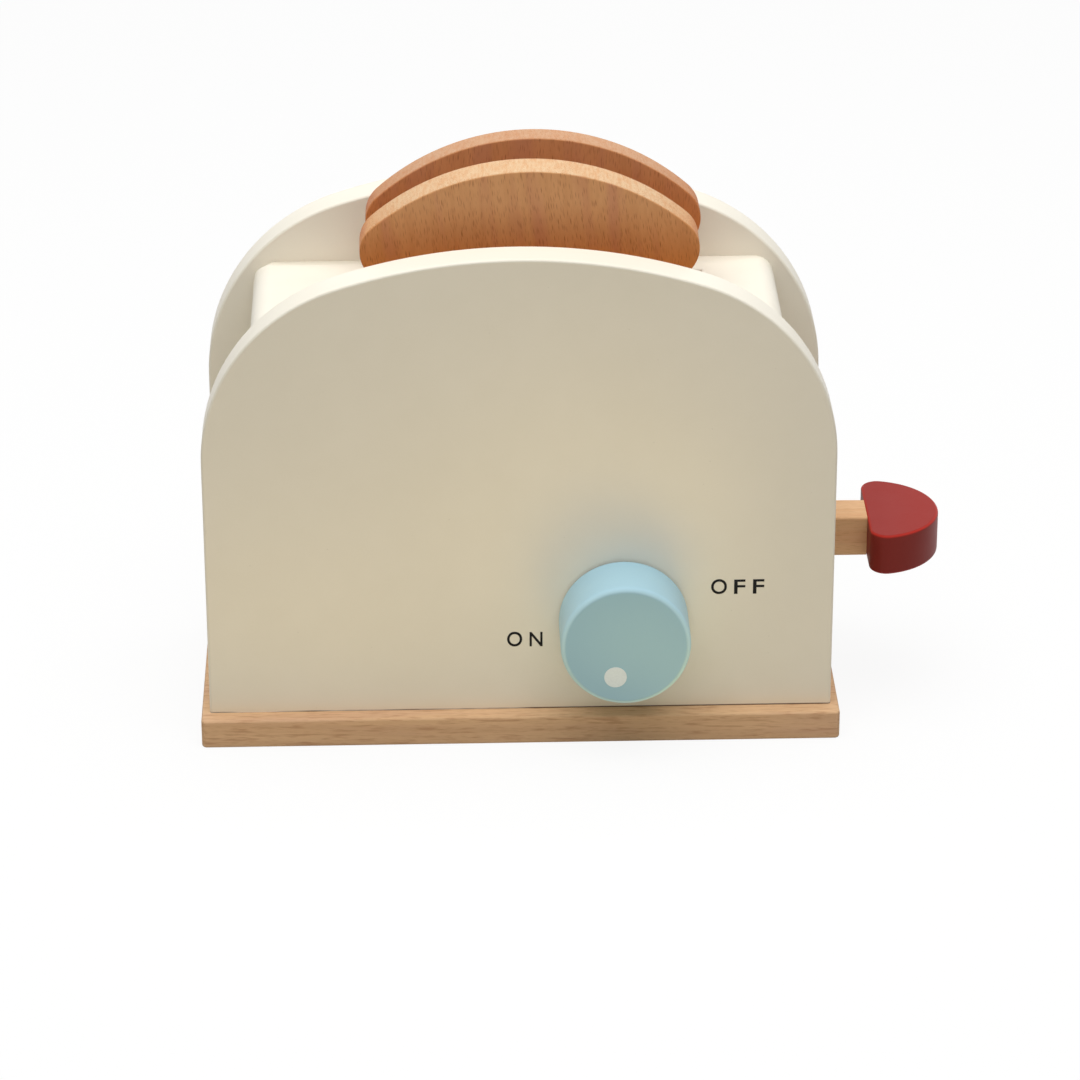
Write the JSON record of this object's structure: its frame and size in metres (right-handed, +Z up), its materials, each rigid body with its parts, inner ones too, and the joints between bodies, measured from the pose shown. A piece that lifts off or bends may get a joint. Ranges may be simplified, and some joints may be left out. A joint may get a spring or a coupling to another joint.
{
  "type": "toy toaster",
  "caption": "Wooden toy toaster with arch-shaped sides, bread slices in slots on a sprung lever, and a turning knob.",
  "frame": {"origin": "centre of the base board's underside", "axes": "+X to the lever on the right, +Y to the back, +Z up; the knob is on the front, which faces -Y"},
  "size_m": [0.2221, 0.1003, 0.1726],
  "materials": {
    "beech": "bare sanded beech, clear matt oil",
    "toast_beech": "bare sanded beech of a warmer tone",
    "cream_paint": "cream satin paint on board",
    "red_paint": "deep red satin paint on wood",
    "blue_paint": "pale blue satin paint on wood",
    "steel": "zinc-plated steel",
    "spring_steel": "bright spring wire",
    "nylon": "thin white nylon",
    "dark_print": "printed letters",
    "white_print": "printed dot"
  },
  "bodies": {
    "root": {"base_board": "beech", "front_panel": "cream_paint", "back_panel": "cream_paint", "top_board": "cream_paint", "left_wall": "cream_paint", "right_wall": "cream_paint", "guide_rod_left": "steel", "guide_rod_right": "steel", "return_spring_left": "spring_steel", "return_spring_right": "spring_steel", "knob_spacer": "nylon", "knob_washer": "steel", "base_screws": "steel", "joint_dowels": "beech"},
    "carriage": {"lever_arm": "beech", "lever_handle": "red_paint", "handle_dowel": "beech", "rest_left": "beech", "rest_right": "beech", "rest_screws": "steel"},
    "front_bread": {"bread_slice_front": "toast_beech"},
    "back_bread": {"bread_slice_back": "toast_beech"},
    "dial": {"knob": "blue_paint", "knob_screw": "steel"}
  },
  "joints": [
    {"name": "lever_slide", "type": "slide", "parent": "root", "child": "carriage", "axis": [0, 0, 1], "range_m": [-0.022, 0], "stiffness_N_per_m": 150, "springref_m": 0.022, "deforming": ["return_spring_left", "return_spring_right"]},
    {"name": "front_bread_lift", "type": "slide", "parent": "carriage", "child": "front_bread", "axis": [0, -0.061, 0.9981], "range_m": [0, 0.06]},
    {"name": "back_bread_lift", "type": "slide", "parent": "carriage", "child": "back_bread", "axis": [0, 0.061, 0.9981], "range_m": [0, 0.06]},
    {"name": "knob_turn", "type": "hinge", "parent": "root", "child": "dial", "pos_m": [0.0304, -0.0381, 0.0386], "axis": [0, 1, 0], "continuous": true}
  ]
}
